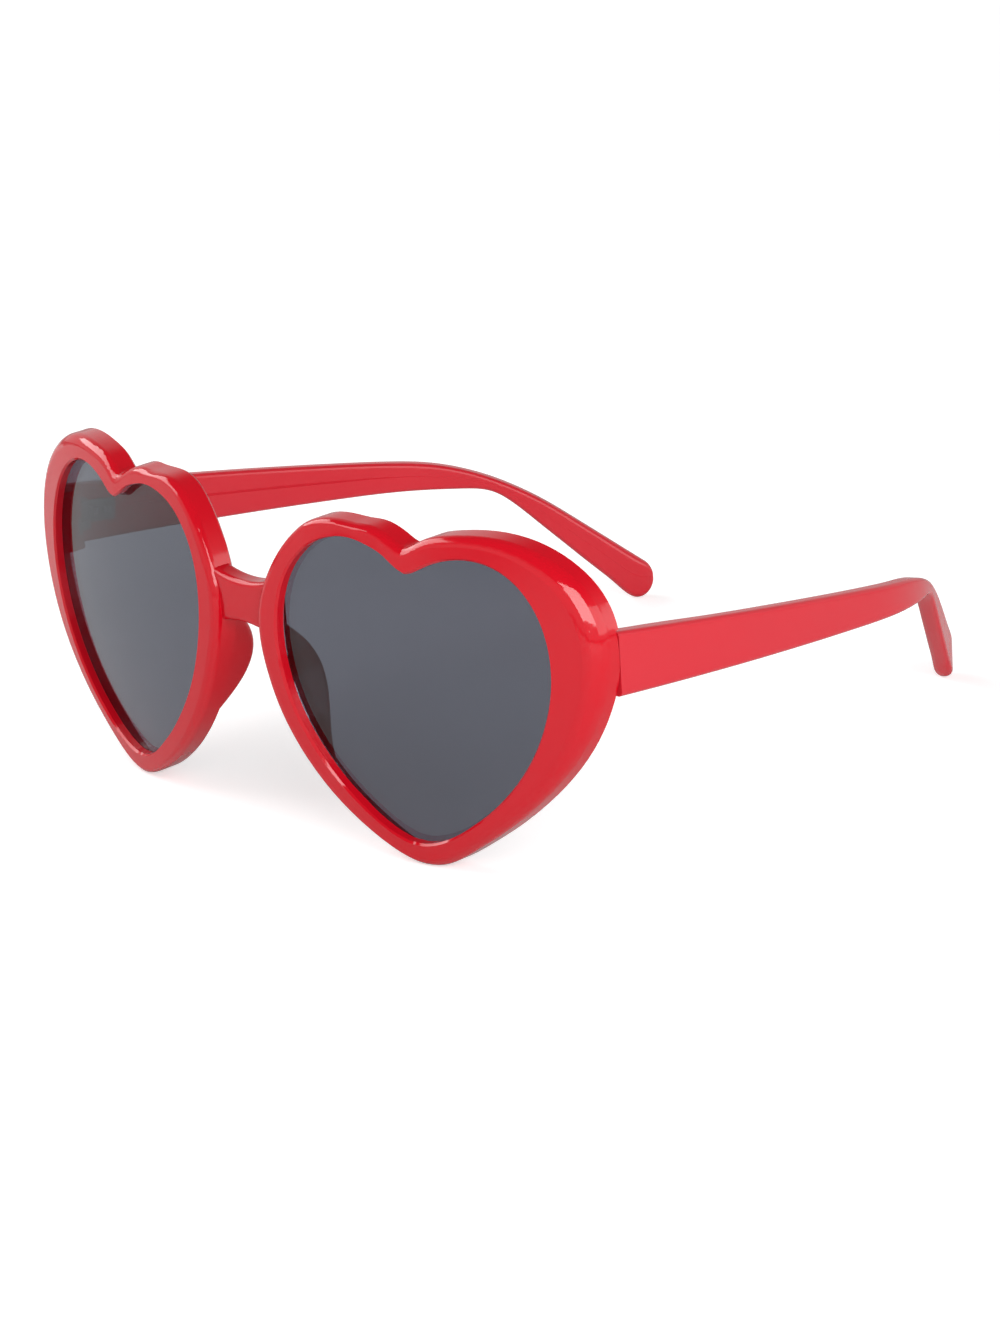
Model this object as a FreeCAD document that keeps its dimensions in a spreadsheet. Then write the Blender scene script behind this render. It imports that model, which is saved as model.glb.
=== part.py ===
import FreeCAD, Part
import math
import os
import Sketcher

# Heart shaped sunglasses: a moulded front with two smoke lenses and two folding temples.
# Frame: X to the wearer's left, Y from the front to the back, Z up, origin on the floor in the middle.
# The pieces are drawn upright in the frame of the front, then stood on the floor together.

doc = FreeCAD.newDocument("heart_sunglasses")
V = FreeCAD.Vector

# Driving sizes in millimetres, angles in degrees.
SIZES = {
    # Curve of the front
    "front_radius": 180,
    "front_middle_height": 25,
    "rim_depth": 5.6,
    # Lens opening of the wearer's left side
    "half_gap": 10.4,
    "lens_width": 55,
    "nasal_side_height": 36.4,
    "temporal_side_height": 34.8,
    "nasal_top_across": 15.9,
    "nasal_top_height": 54.1,
    "notch_across": 27.7,
    "notch_height": 48.8,
    "temporal_top_across": 39.8,
    "temporal_top_height": 53,
    "point_across": 26,
    "point_drop": 1,
    "opening_notch_radius": 2.5,
    "opening_point_radius": 12,
    # Width of the rim round the opening
    "rim_notch_shift": 0.5,
    "rim_notch": 4,
    "rim_nasal_top_shift": 5.8,
    "rim_nasal_top": 2.4,
    "rim_nasal": 5.1,
    "rim_nasal_rise": 0.6,
    "rim_point_shift": 3,
    "rim_point": 3.8,
    "rim_temporal": 8.1,
    "rim_temporal_rise": 3.4,
    "rim_temporal_top_shift": 1.4,
    "rim_temporal_top": 3.9,
    "rim_notch_radius": 2,
    "rim_point_radius": 10,
    "rim_front_round": 1.6,
    "rim_shoulder_round": 2.8,
    "rim_back_bevel": 0.6,
    "opening_edge_bevel": 0.4,
    "pad_inset": 0.3,
    # Lens and its rebate, which opens to the back in a bevel
    "lens_recess": 1.9,
    "lens_thickness": 1.5,
    "lens_overlap": 0.8,
    "rebate_clearance": 0.05,
    "rebate_edge_gap": 0.2,
    "rebate_bevel_share": 0.62,
    # Bridge
    "bridge_height": 38.1,
    "bridge_waist": 7.8,
    "bridge_flare": 1.4,
    "bridge_recess": 1.9,
    "bridge_depth": 4.2,
    "bridge_round": 1,
    # Nose pads
    "pad_top": 37.6,
    "pad_crest": 24.9,
    "pad_bottom": 7.3,
    "pad_reach": 5.7,
    "pad_round": 1.6,
    # Temples
    "temple_thickness": 3.4,
    "temple_end_height": 11.6,
    "temple_bow_radius": 460,
    "hook_to_tip": 70,
    "temple_hook_radius": 62.8,
    "temple_hook_angle": 33.9,
    "bend_to_tip": 34.2,
    "bend_top_height": 23.4,
    "bend_top_radius": 98,
    "bend_bottom_to_tip": 33.7,
    "bend_bottom_height": 19,
    "bend_bottom_radius": 18,
    "tip_length": 140.8,
    "tip_height": -3.5,
    "tip_radius": 4,
    "temple_edge_round": 0.9,
    "tip_edge_round": 1.5,
    "tip_taper": 6,
    "ledge_step": 0.4,
    "ledge_share": 0.58,
    "ledge_start": 16,
    "ledge_rise": 8,
    "ledge_fade_start": 62,
    "ledge_fade": 26,
    "ledge_least": 0.03,
    "butt_gap": 0.1,
    # Hinges
    "hinge_height": 36.2,
    "knuckle_radius": 1.3,
    "knuckle_length": 1.7,
    "knuckle_gap": 0.1,
    "pivot_inset": 1.8,
    "pivot_stand_off": 0.3,
    "leaf_thickness": 0.8,
    "front_leaf_width": 3.2,
    "front_leaf_height": 10.8,
    "leaf_corner": 0.6,
    "seat_clearance": 0.05,
    "end_pad_margin": 0.4,
    "temple_leaf_start": 1.8,
    "temple_leaf_length": 7,
    "temple_leaf_width": 4.2,
    "temple_leaf_proud": 0.3,
    # Screws
    "pivot_radius": 0.6,
    "pivot_clearance": 0.05,
    "pivot_head_radius": 1.1,
    "pivot_head_height": 0.6,
    "pivot_overhang": 0.4,
    "screw_radius": 0.5,
    "screw_length": 1.8,
    "screw_clearance": 0.05,
    "pilot_clearance": 0.02,
    "screw_head_radius": 0.9,
    "screw_head_height": 0.5,
    "head_bevel": 0.15,
    "slot_width": 0.4,
    "slot_depth": 0.35,
    "front_screw_spread": 4.4,
    "temple_screw_first": 3.7,
    "temple_screw_pitch": 3,
}

# Shape of the outlines: directions where they leave the notch and the point, fullness of each curve.
OPENING_ANGLES = {
    "notch_nasal": 131.5,
    "notch_temporal": 29.9,
    "point_nasal": 149.4,
    "point_temporal": 19.8,
}
OPENING_FULLNESS = {
    "notch_to_nasal_top": 0.313,
    "nasal_top_to_side": 0.401,
    "nasal_side_to_point": 0.362,
    "point_to_temporal_side": 0.359,
    "temporal_side_to_top": 0.39,
    "temporal_top_to_notch": 0.373,
}
RIM_ANGLES = {
    "notch_nasal": 135.8,
    "notch_temporal": 61.2,
    "point_nasal": 163.9,
    "point_temporal": 30.2,
}
RIM_FULLNESS = {
    "notch_to_nasal_top": 0.37,
    "nasal_top_to_side": 0.279,
    "nasal_side_to_point": 0.347,
    "point_to_temporal_side": 0.358,
    "temporal_side_to_top": 0.391,
    "temporal_top_to_notch": 0.274,
}
# Steps into which each edge of an outline is divided, from the notch by the nasal side.
OUTLINE_STEPS = {
    "to_nasal_top": 4,
    "to_nasal_side": 4,
    "to_point": 6,
    "round_point": 4,
    "to_temporal_side": 6,
    "to_temporal_top": 4,
    "to_notch": 4,
    "round_notch": 2,
}
# Finer steps along the nasal side for the nose pad.
PAD_STEPS = {
    "to_nasal_side": 6,
    "to_point": 10,
}
# Side view of a nose pad: how far its two curves lean, as shares of its reach and of its heights.
PAD_LEAN = {
    "top_reach": 0.46,
    "top_drop": 0.34,
    "crest_rise": 0.42,
    "crest_fall": 0.33,
    "foot_reach": 0.38,
    "foot_rise": 0.46,
}

# Arcs that round an edge, and the largest share of a thin wall that one round edge takes.
ROUND_STEPS = 3
ROUND_SHARE = 0.45
# Steps into which the lengths of a temple and the quarter circle of its tip are divided.
TEMPLE_STEPS = {
    "bow": 8,
    "hook": 4,
    "end": 6,
    "tip": 7,
}

# Closeness that counts as touching, steepest tilt tried and fineness of the search for the stand.
TOUCHING = 1e-3
STEEPEST = 20.0
TILT_STEP = 1e-6
FINE = 0.01

# Sizes that follow from the driving ones.
DERIVED = {
    "temporal_side": "Sizes.half_gap + Sizes.lens_width + Sizes.rim_temporal",
    "seam": "Sizes.front_radius - sqrt(Sizes.front_radius ^ 2 - temporal_side ^ 2) + Sizes.rim_depth",
    "temple_inside": "temporal_side - Sizes.temple_thickness",
    "pivot_across": "temple_inside - Sizes.pivot_inset",
    "pivot_back": "seam + Sizes.pivot_stand_off + Sizes.knuckle_radius",
    "knuckle_start": "Sizes.knuckle_length / 2 + Sizes.knuckle_gap",
    "hinge_top": "Sizes.hinge_height + knuckle_start + Sizes.knuckle_length",
    "pivot_bore": "Sizes.pivot_radius + Sizes.pivot_clearance",
    "temple_leaf_face": "temple_inside - Sizes.temple_leaf_proud",
    "arm_reach": "Sizes.temple_leaf_start + Sizes.leaf_thickness",
    "temple_bow_length": "Sizes.tip_length - Sizes.hook_to_tip",
    "bend_length": "Sizes.tip_length - Sizes.bend_to_tip",
    "bend_bottom_length": "Sizes.tip_length - Sizes.bend_bottom_to_tip",
}


def fill_sheet(name, entries):
    """Make a sheet with one alias per row."""
    made = doc.addObject("Spreadsheet::Sheet", name)
    for row, (alias, entry) in enumerate(entries.items(), 1):
        made.set("A%d" % row, alias)
        made.set("B%d" % row, str(entry))
        made.setAlias("B%d" % row, alias)
    return made


sizes = fill_sheet("Sizes", SIZES)
derived = fill_sheet("Derived", {alias: "=" + formula for alias, formula in DERIVED.items()})
doc.recompute()


def size(alias):
    """Number held by a cell of either sheet."""
    return float((sizes if alias in SIZES else derived).get(alias))


def bind(item, **formulas):
    """Tie properties of an object to the sheets; a double underscore stands for a point."""
    for path, formula in formulas.items():
        item.setExpression(path.replace("__", "."), formula)
    return item


def place(item, across, back, up):
    """Tie the position of an object to the sheets."""
    return bind(item, Placement__Base__x=across, Placement__Base__y=back, Placement__Base__z=up)


def box(name, across, back, up, width, depth, height):
    """Box with its low corner and its three lengths given by formulas."""
    made = bind(doc.addObject("Part::Box", name), Length=width, Width=depth, Height=height)
    return place(made, across, back, up)


def rod(name, across, back, up, axis, radius, length):
    """Cylinder along an axis of the front."""
    made = bind(doc.addObject("Part::Cylinder", name), Radius=radius, Height=length)
    made.Placement.Rotation = FreeCAD.Rotation(V(0, 0, 1), axis)
    return place(made, across, back, up)


def wire_feature(name, wire):
    """Document object that holds an outline."""
    made = doc.addObject("Part::Feature", name)
    made.Shape = Part.Face(wire)
    return made


def extrude(name, base, direction, length):
    """Solid pulled from an outline."""
    made = doc.addObject("Part::Extrusion", name)
    made.Base = base
    made.DirMode = "Custom"
    made.Dir = direction
    made.LengthFwd = length
    made.Solid = True
    doc.recompute()
    return made


def boolean(kind, name, base, tool):
    """Cut or common part of two objects."""
    made = doc.addObject(kind, name)
    made.Base = base
    made.Tool = tool
    doc.recompute()
    return made


def fuse(name, *items):
    """One solid from several objects."""
    made = doc.addObject("Part::MultiFuse", name)
    made.Shapes = list(items)
    made.Refine = True
    doc.recompute()
    return made


def fillet(name, base, radius_of_edge):
    """Round the edges for which the rule gives a start and an end radius."""
    made = doc.addObject("Part::Fillet", name)
    made.Base = base
    chosen = []
    for number, edge in enumerate(base.Shape.Edges, 1):
        radii = radius_of_edge(edge)
        if radii:
            chosen.append((number, radii[0], radii[1]))
    made.Edges = chosen
    doc.recompute()
    return made


def corner(edge, across, up):
    """True where an edge runs from front to back at the given place."""
    first = edge.valueAt(edge.FirstParameter)
    last = edge.valueAt(edge.LastParameter)
    same = math.hypot(first.x - last.x, first.z - last.z) < TOUCHING
    return same and math.hypot(first.x - across, first.z - up) < TOUCHING


# Outlines of the front

REACH_BACK = 3 * size("rim_depth") + size("seam") + size("pad_reach")
START = -2 * size("rim_depth")


def heart(points, angles, fullness):
    """Closed outline of six curves through notch, nasal top and side, point, temporal side and top."""
    notch, nasal_top, nasal_side, point, temporal_side, temporal_top = (V(a, START, u) for a, u in points)
    out = V(1, 0, 0)
    up = V(0, 0, 1)

    def heading(key):
        turn = math.radians(angles[key])
        return V(math.cos(turn), 0, math.sin(turn))

    spans = (
        (notch, heading("notch_nasal"), nasal_top, out),
        (nasal_top, -out, nasal_side, up),
        (nasal_side, -up, point, heading("point_nasal")),
        (point, heading("point_temporal"), temporal_side, -up),
        (temporal_side, up, temporal_top, out),
        (temporal_top, -out, notch, heading("notch_temporal")),
    )
    edges = []
    for (first, leave, last, arrive), full in zip(spans, fullness.values()):
        pull = full * first.distanceToPoint(last)
        curve = Part.BezierCurve()
        curve.setPoles([first, first + leave * pull, last + arrive * pull, last])
        edges.append(curve.toShape())
    return Part.Wire(edges)


nasal = size("half_gap")
opening_points = (
    (nasal + size("notch_across"), size("notch_height")),
    (nasal + size("nasal_top_across"), size("nasal_top_height")),
    (nasal, size("nasal_side_height")),
    (nasal + size("point_across"), -size("point_drop")),
    (nasal + size("lens_width"), size("temporal_side_height")),
    (nasal + size("temporal_top_across"), size("temporal_top_height")),
)
rim_growth = (
    (-size("rim_notch_shift"), size("rim_notch")),
    (-size("rim_nasal_top_shift"), size("rim_nasal_top")),
    (-size("rim_nasal"), size("rim_nasal_rise")),
    (size("rim_point_shift"), -size("rim_point")),
    (size("rim_temporal"), size("rim_temporal_rise")),
    (size("rim_temporal_top_shift"), size("rim_temporal_top")),
)
rim_points = tuple((p[0] + g[0], p[1] + g[1]) for p, g in zip(opening_points, rim_growth))


def heart_prism(name, points, angles, fullness, notch_radius, point_radius):
    """Heart pulled from front to back with its notch and its point rounded."""
    outline = wire_feature(name + "_outline", heart(points, angles, fullness))
    prism = extrude(name + "_prism", outline, V(0, 1, 0), REACH_BACK)

    def rule(edge):
        if corner(edge, *points[0]):
            return notch_radius, notch_radius
        if corner(edge, *points[3]):
            return point_radius, point_radius
        return None

    return fillet(name, prism, rule)


rim_heart = heart_prism(
    "rim_heart", rim_points, RIM_ANGLES, RIM_FULLNESS, size("rim_notch_radius"), size("rim_point_radius"))
opening_heart = heart_prism(
    "opening_heart", opening_points, OPENING_ANGLES, OPENING_FULLNESS,
    size("opening_notch_radius"), size("opening_point_radius"))


def grown(points, angles, growth):
    """Outline points moved outwards evenly; notch and point move along the middle of their corner."""

    def halving(first, second):
        middle = math.radians(0.5 * (angles[first] + angles[second]))
        half = math.radians(0.5 * (angles[first] - angles[second]))
        step = growth / math.sin(half)
        return step * math.cos(middle), step * math.sin(middle)

    notch = halving("notch_nasal", "notch_temporal")
    point = halving("point_nasal", "point_temporal")
    moves = (notch, (0, growth), (-growth, 0), (-point[0], -point[1]), (growth, 0), (0, growth))
    return tuple((p[0] + m[0], p[1] + m[1]) for p, m in zip(points, moves))


def grown_heart(name, growth):
    """The opening widened evenly, for the lens and for what stays clear of its rebate."""
    return heart_prism(
        name, grown(opening_points, OPENING_ANGLES, growth), OPENING_ANGLES, OPENING_FULLNESS,
        size("opening_notch_radius") - growth, size("opening_point_radius") + growth)


rebate_width = size("lens_overlap") + size("rebate_edge_gap")
lens_heart = grown_heart("lens_heart", size("lens_overlap"))
rebate_heart = grown_heart("rebate_heart", rebate_width + size("pad_inset"))
rim_inset = size("rim_back_bevel") + size("pad_inset")
pad_heart = heart_prism(
    "pad_heart", grown(rim_points, RIM_ANGLES, -rim_inset), RIM_ANGLES, RIM_FULLNESS,
    size("rim_notch_radius") + rim_inset, size("rim_point_radius") - rim_inset)

front_centre = V(0, size("front_radius"), size("front_middle_height"))


def curved(depth, across, up):
    """How far back a place lies that is a depth behind the front, which is part of a globe."""
    aside = across ** 2 + (up - front_centre.z) ** 2
    return front_centre.y - math.sqrt((size("front_radius") - depth) ** 2 - aside)


def globe(name, depth_formula):
    """Ball whose near side lies a depth behind the front."""
    made = bind(doc.addObject("Part::Sphere", name), Radius="Sizes.front_radius - " + depth_formula)
    return place(made, "0", "Sizes.front_radius", "Sizes.front_middle_height")


lens_front = size("lens_recess")
lens_back = lens_front + size("lens_thickness")
lens_shell = boolean(
    "Part::Cut", "lens_shell", globe("lens_face", "Sizes.lens_recess"),
    globe("lens_inside", "(Sizes.lens_recess + Sizes.lens_thickness)"))
behind_rim = globe("behind_rim", "Sizes.rim_depth / 2")

# Rim of the wearer's left side: one cross section carried round the opening in two halves


def outline_edges(prism, notch):
    """Edges of the rounded outline at the front of a prism, in order from the notch by the nasal side."""
    face = [item for item in prism.Shape.Faces if item.BoundBox.YMax - START < TOUCHING][0]
    edges = face.OuterWire.OrderedEdges
    corner_at = V(notch[0], START, notch[1])
    middles = [edge.valueAt(edge.getParameterByLength(edge.Length / 2)) for edge in edges]
    first = min(range(len(edges)), key=lambda number: middles[number].distanceToPoint(corner_at))
    edges = edges[first:] + edges[:first]
    if middles[(first + 1) % len(middles)].x > corner_at.x:
        edges = edges[:1] + edges[:0:-1]
    return edges


def outline_places(prism, notch, steps):
    """Points and directions of the rounded outline: every edge after the notch is divided evenly."""
    edges = outline_edges(prism, notch)
    places = []
    meets = edges[0].Vertexes
    joint = min(meets, key=lambda vertex: vertex.distToShape(edges[1])[0]).Point
    for edge, count in zip(edges[1:] + edges[:1], steps):
        backwards = edge.valueAt(edge.FirstParameter).distanceToPoint(joint) > TOUCHING
        for number in range(count):
            share = number / count
            at = edge.getParameterByLength(edge.Length * ((1 - share) if backwards else share))
            places.append((edge.valueAt(at), edge.tangentAt(at)))
        joint = edge.valueAt(edge.FirstParameter if backwards else edge.LastParameter)
    return places


def round_edge(at, turned_out, radius):
    """Small arcs that round an edge by a quarter turn; the rule places two parts of the radius."""
    turn = 0.5 * math.pi / ROUND_STEPS

    def on(steps):
        spread = (math.sin(turn * steps), math.cos(turn * steps))
        along, behind = spread if turned_out else reversed(spread)
        return at(radius * along, radius * behind)

    return [Part.Arc(on(step), on(step + 0.5), on(step + 1)).toShape() for step in range(ROUND_STEPS)]


def chain(corners):
    """Straight edges from corner to corner."""
    return [Part.makeLine(first, second) for first, second in zip(corners, corners[1:])]


def rim_section(inner, along_opening, outer):
    """Cross section of the rim from the opening outwards, with the lens rebate and its bevel."""
    out = V(outer.x - inner.x, 0, outer.z - inner.z)
    width = out.Length
    out.normalize()
    depth = size("rim_depth")
    lip = size("opening_edge_bevel")
    back = size("rim_back_bevel")
    middle = rim_points[3][0]
    aside = max(0, (outer.x - middle) / (rim_points[4][0] - middle))
    front = size("rim_front_round") + (size("rim_shoulder_round") - size("rim_front_round")) * aside ** 2
    seat = rebate_width / out.cross(along_opening).Length
    seat_front = lens_front - size("rebate_clearance")
    seat_back = lens_back + size("rebate_clearance")
    bevel = seat + size("rebate_bevel_share") * (width - back - seat)

    def at(along, behind):
        across = inner.x + out.x * along
        up = inner.z + out.z * along
        return V(across, curved(behind, across, up), up)

    rounded = round_edge(lambda along, behind: at(width - front + along, front - behind), True, front)
    face = chain([at(0, seat_front), at(0, lip), at(lip, 0), at(width - front, 0)])
    rest = chain([
        at(width, front), at(width, depth - back), at(width - back, depth), at(bevel, depth),
        at(seat, seat_back), at(seat, seat_front), at(0, seat_front)])
    return Part.Wire(face + rounded + rest)


def loft(name, sections):
    """Smooth solid through cross sections."""
    made = doc.addObject("Part::Loft", name)
    held = []
    for number, section in enumerate(sections):
        item = doc.addObject("Part::Feature", "%s_section_%d" % (name, number))
        item.Shape = section
        held.append(item)
    made.Sections = held
    made.Solid = True
    doc.recompute()
    return made


inner_places = outline_places(opening_heart, opening_points[0], OUTLINE_STEPS.values())
outer_places = outline_places(rim_heart, rim_points[0], OUTLINE_STEPS.values())
rim_sections = [rim_section(*inner, outer[0]) for inner, outer in zip(inner_places, outer_places)]
steps = list(OUTLINE_STEPS.values())
at_point = sum(steps[:3]) + steps[3] // 2
at_notch = len(rim_sections) - steps[7] // 2
nasal_half = loft("nasal_half", rim_sections[at_notch:] + rim_sections[:at_point + 1])
temporal_half = loft("temporal_half", rim_sections[at_point:at_notch + 1])
rim = fuse("rim", nasal_half, temporal_half)

# End pad: flat block behind the temporal side that carries the hinge and meets the temple


def end_block(name, back, depth):
    """Block across the temporal side at the height of the hinge."""
    return box(
        name, "Derived.pivot_across - Sizes.front_leaf_width / 2 - Sizes.end_pad_margin", back,
        "Sizes.hinge_height - Sizes.front_leaf_height / 2 - Sizes.end_pad_margin", "3 * Sizes.rim_temporal",
        depth, "Sizes.front_leaf_height + 2 * Sizes.end_pad_margin")


end_pad_box = end_block("end_pad_box", "0", "Derived.seam")
end_pad_slice = boolean("Part::Common", "end_pad_slice", pad_heart, end_pad_box)
end_pad_behind = boolean("Part::Common", "end_pad_behind", end_pad_slice, behind_rim)
end_pad = boolean("Part::Cut", "end_pad", end_pad_behind, rebate_heart)
rim_with_pad = fuse("rim_with_pad", rim, end_pad)
landing = end_block("landing", "Derived.seam", "Sizes.rim_depth")
rim_landed = boolean("Part::Cut", "rim_landed", rim_with_pad, landing)

# Nose pad: fin carried along the nasal side, whose reach to the back follows two curves


def pad_profile():
    """Side view of the fin, from its top over the crest to its bottom, as depths and heights."""
    root = size("rim_depth") / 2
    crest_back = size("rim_depth") + size("pad_reach")
    reach = crest_back - root
    top = size("pad_top")
    crest = size("pad_crest")
    bottom = size("pad_bottom")
    upper = Part.BezierCurve()
    upper.setPoles([
        V(0, root, top),
        V(0, root + PAD_LEAN["top_reach"] * reach, top - PAD_LEAN["top_drop"] * (top - crest)),
        V(0, crest_back, crest + PAD_LEAN["crest_rise"] * (top - crest)),
        V(0, crest_back, crest)])
    lower = Part.BezierCurve()
    lower.setPoles([
        V(0, crest_back, crest),
        V(0, crest_back, crest - PAD_LEAN["crest_fall"] * (crest - bottom)),
        V(0, root + PAD_LEAN["foot_reach"] * reach, bottom + PAD_LEAN["foot_rise"] * (crest - bottom)),
        V(0, root, bottom)])
    front = Part.makeLine(V(0, root, bottom), V(0, root, top))
    return Part.Face(Part.Wire([upper.toShape(), lower.toShape(), front]))


pad_view = pad_profile()


def pad_section(inner, along_opening, outer):
    """Cross section of the fin, from inside the rim to its round back."""
    out = V(outer.x - inner.x, 0, outer.z - inner.z)
    near = (rebate_width + size("pad_inset")) / out.normalize().cross(along_opening).Length
    far = inner.distanceToPoint(outer) - rim_inset
    up = 0.5 * (inner.z + outer.z)
    sight = Part.makeLine(V(0, 0, up), V(0, REACH_BACK, up))
    front = size("rim_depth") / 4
    back = max(vertex.Y for vertex in pad_view.common(sight).Vertexes)
    edge = min(size("pad_round"), ROUND_SHARE * (far - near), ROUND_SHARE * (back - front))

    def at(along, behind):
        across = inner.x + out.x * along
        height = inner.z + out.z * along
        return V(across, curved(behind, across, height), height)

    edges = chain([at(near, back - edge), at(near, front), at(far, front), at(far, back - edge)])
    edges += round_edge(lambda a, b: at(far - edge + a, back - edge + b), False, edge)
    edges += chain([at(far - edge, back), at(near + edge, back)])
    edges += round_edge(lambda a, b: at(near + edge - a, back - edge + b), True, edge)
    return Part.Wire(edges)


pad_steps = dict(OUTLINE_STEPS, **PAD_STEPS)
pad_inner = outline_places(opening_heart, opening_points[0], pad_steps.values())
pad_outer = outline_places(rim_heart, rim_points[0], pad_steps.values())
pad_sections = [
    pad_section(*inner, outer[0]) for inner, outer in zip(pad_inner, pad_outer)
    if max(inner[0].x, outer[0].x) < opening_points[3][0]
    and size("pad_bottom") < 0.5 * (inner[0].z + outer[0].z) < size("pad_top")]
nose_pad = loft("nose_pad", pad_sections)

# Seat of the front hinge leaf


def rounded_plate(name, plate, along):
    """Plate with its four short edges rounded."""
    doc.recompute()

    def rule(edge):
        run = edge.valueAt(edge.LastParameter) - edge.valueAt(edge.FirstParameter)
        return (size("leaf_corner"),) * 2 if run.normalize().cross(along).Length < TOUCHING else None

    return fillet(name, plate, rule)


def front_plate(name, spare_formula, depth_formula):
    """Upright plate flush with the seam, grown by a clearance."""
    plate = box(
        name + "_block",
        "Derived.pivot_across - Sizes.front_leaf_width / 2 - " + spare_formula,
        "Derived.seam - Sizes.leaf_thickness",
        "Sizes.hinge_height - Sizes.front_leaf_height / 2 - " + spare_formula,
        "Sizes.front_leaf_width + 2 * " + spare_formula,
        depth_formula,
        "Sizes.front_leaf_height + 2 * " + spare_formula)
    return rounded_plate(name, plate, V(0, 1, 0))


front_seat = front_plate("front_seat", "Sizes.seat_clearance", "2 * Sizes.leaf_thickness")
pilot_radius = "Sizes.screw_radius + Sizes.pilot_clearance"
pilot_length = "Sizes.leaf_thickness + Sizes.screw_length + Sizes.screw_clearance"
front_pilots = [
    rod(
        "front_pilot_" + name, "Derived.pivot_across", "Derived.seam",
        "Sizes.hinge_height %s Sizes.front_screw_spread" % sign, V(0, -1, 0), pilot_radius, pilot_length)
    for name, sign in (("top", "+"), ("bottom", "-"))]
front_seat_cut = fuse("front_seat_cut", front_seat, *front_pilots)
rim_seated = boolean("Part::Cut", "rim_seated", rim_landed, front_seat_cut)
half_front = fuse("half_front", rim_seated, nose_pad)

# Bridge: bar between the rims, set back from their faces, with hollow top and bottom


def bridge_outline():
    """Front view of the bridge; its ends lie inside the rims."""
    end = size("half_gap") - size("rim_nasal") / 2
    set_back = size("bridge_recess")
    top = size("bridge_height") + size("bridge_waist") / 2
    bottom = size("bridge_height") - size("bridge_waist") / 2
    flare = size("bridge_flare")
    upper = Part.Arc(V(-end, set_back, top + flare), V(0, set_back, top), V(end, set_back, top + flare))
    lower = Part.Arc(
        V(end, set_back, bottom - flare), V(0, set_back, bottom), V(-end, set_back, bottom - flare))
    right = Part.makeLine(V(end, set_back, top + flare), V(end, set_back, bottom - flare))
    left = Part.makeLine(V(-end, set_back, bottom - flare), V(-end, set_back, top + flare))
    return Part.Wire([upper.toShape(), right, lower.toShape(), left])


bridge_blank = extrude(
    "bridge_blank", wire_feature("bridge_outline", bridge_outline()), V(0, 1, 0), size("bridge_depth"))


def bridge_rounding(edge):
    """Round the four edges that run from rim to rim."""
    first = edge.valueAt(edge.FirstParameter)
    last = edge.valueAt(edge.LastParameter)
    return (size("bridge_round"),) * 2 if abs(first.x - last.x) > size("half_gap") / 2 else None


bridge = fillet("bridge", bridge_blank, bridge_rounding)


def mirror(name, source):
    """Copy for the wearer's right side."""
    made = doc.addObject("Part::Mirroring", name)
    made.Source = source
    made.Normal = V(1, 0, 0)
    doc.recompute()
    return made


front_frame = fuse("front_frame", half_front, mirror("other_half_front", half_front), bridge)
lens_left = boolean("Part::Common", "lens_left", lens_heart, lens_shell)

# Temple of the wearer's left side

temple_start = size("seam") + size("butt_gap")
outside = size("temporal_side")
hook_turn = math.radians(size("temple_hook_angle"))


def rounded_corner(before, at, after, radius):
    """Start, middle and end of the arc that rounds a corner."""
    back = (before - at).normalize()
    ahead = (after - at).normalize()
    half = 0.5 * back.getAngle(ahead)
    centre = at + (back + ahead).normalize() * (radius / math.sin(half))
    inward = (at - centre).normalize() * radius
    return at + back * (radius / math.tan(half)), centre + inward, at + ahead * (radius / math.tan(half))


def touch(point, centre, radius, side):
    """Point where a line from a point touches a circle."""
    reach = centre - point
    turn = side * math.degrees(math.asin(radius / reach.Length))
    ahead = FreeCAD.Rotation(V(1, 0, 0), turn).multVec(reach).normalize()
    return point + ahead * math.sqrt(reach.Length ** 2 - radius ** 2)


def side_profile():
    """Side view of the temple, pulled straight: tapered run, bend behind the ear and round tip."""
    half_end = size("temple_end_height") / 2
    lead = 2 * size("temple_thickness")
    top_end = V(0, 0, size("hinge_height") + half_end)
    low_end = V(0, 0, size("hinge_height") - half_end)
    top_bend = V(0, size("bend_length"), size("bend_top_height"))
    low_bend = V(0, size("bend_bottom_length"), size("bend_bottom_height"))
    tip = V(0, size("tip_length"), size("tip_height"))
    top_front = top_end - (top_bend - top_end).normalize() * lead
    low_front = low_end - (low_bend - low_end).normalize() * lead
    tip_top = touch(top_bend, tip, size("tip_radius"), 1)
    tip_low = touch(low_bend, tip, size("tip_radius"), -1)
    tip_end = tip + (tip - (top_bend + low_bend) * 0.5).normalize() * size("tip_radius")
    top_arc = rounded_corner(top_front, top_bend, tip_top, size("bend_top_radius"))
    low_arc = rounded_corner(tip_low, low_bend, low_front, size("bend_bottom_radius"))
    return Part.Face(Part.Wire([
        Part.makeLine(top_front, top_arc[0]),
        Part.Arc(*top_arc).toShape(),
        Part.makeLine(top_arc[2], tip_top),
        Part.Arc(tip_top, tip_end, tip_low).toShape(),
        Part.makeLine(tip_low, low_arc[0]),
        Part.Arc(*low_arc).toShape(),
        Part.makeLine(low_arc[2], low_front),
        Part.makeLine(low_front, top_front)]))


temple_view = side_profile()
view_end = temple_view.BoundBox.YMax
bow_turn = math.asin(size("temple_bow_length") / size("temple_bow_radius"))
bow_centre = V(outside - size("temple_bow_radius"), temple_start, 0)


def facing(turn):
    """Direction square to the temple, outwards, where its plan has turned by an angle."""
    return V(math.cos(turn), math.sin(turn), 0)


hook_centre = bow_centre + facing(bow_turn) * (size("temple_bow_radius") - size("temple_hook_radius"))
hook_end = hook_centre + facing(hook_turn) * size("temple_hook_radius")


def run_at(point):
    """Place in the side view of a point of the plan."""
    return point.y - temple_start + (outside - point.x) * math.tan(hook_turn)


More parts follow.
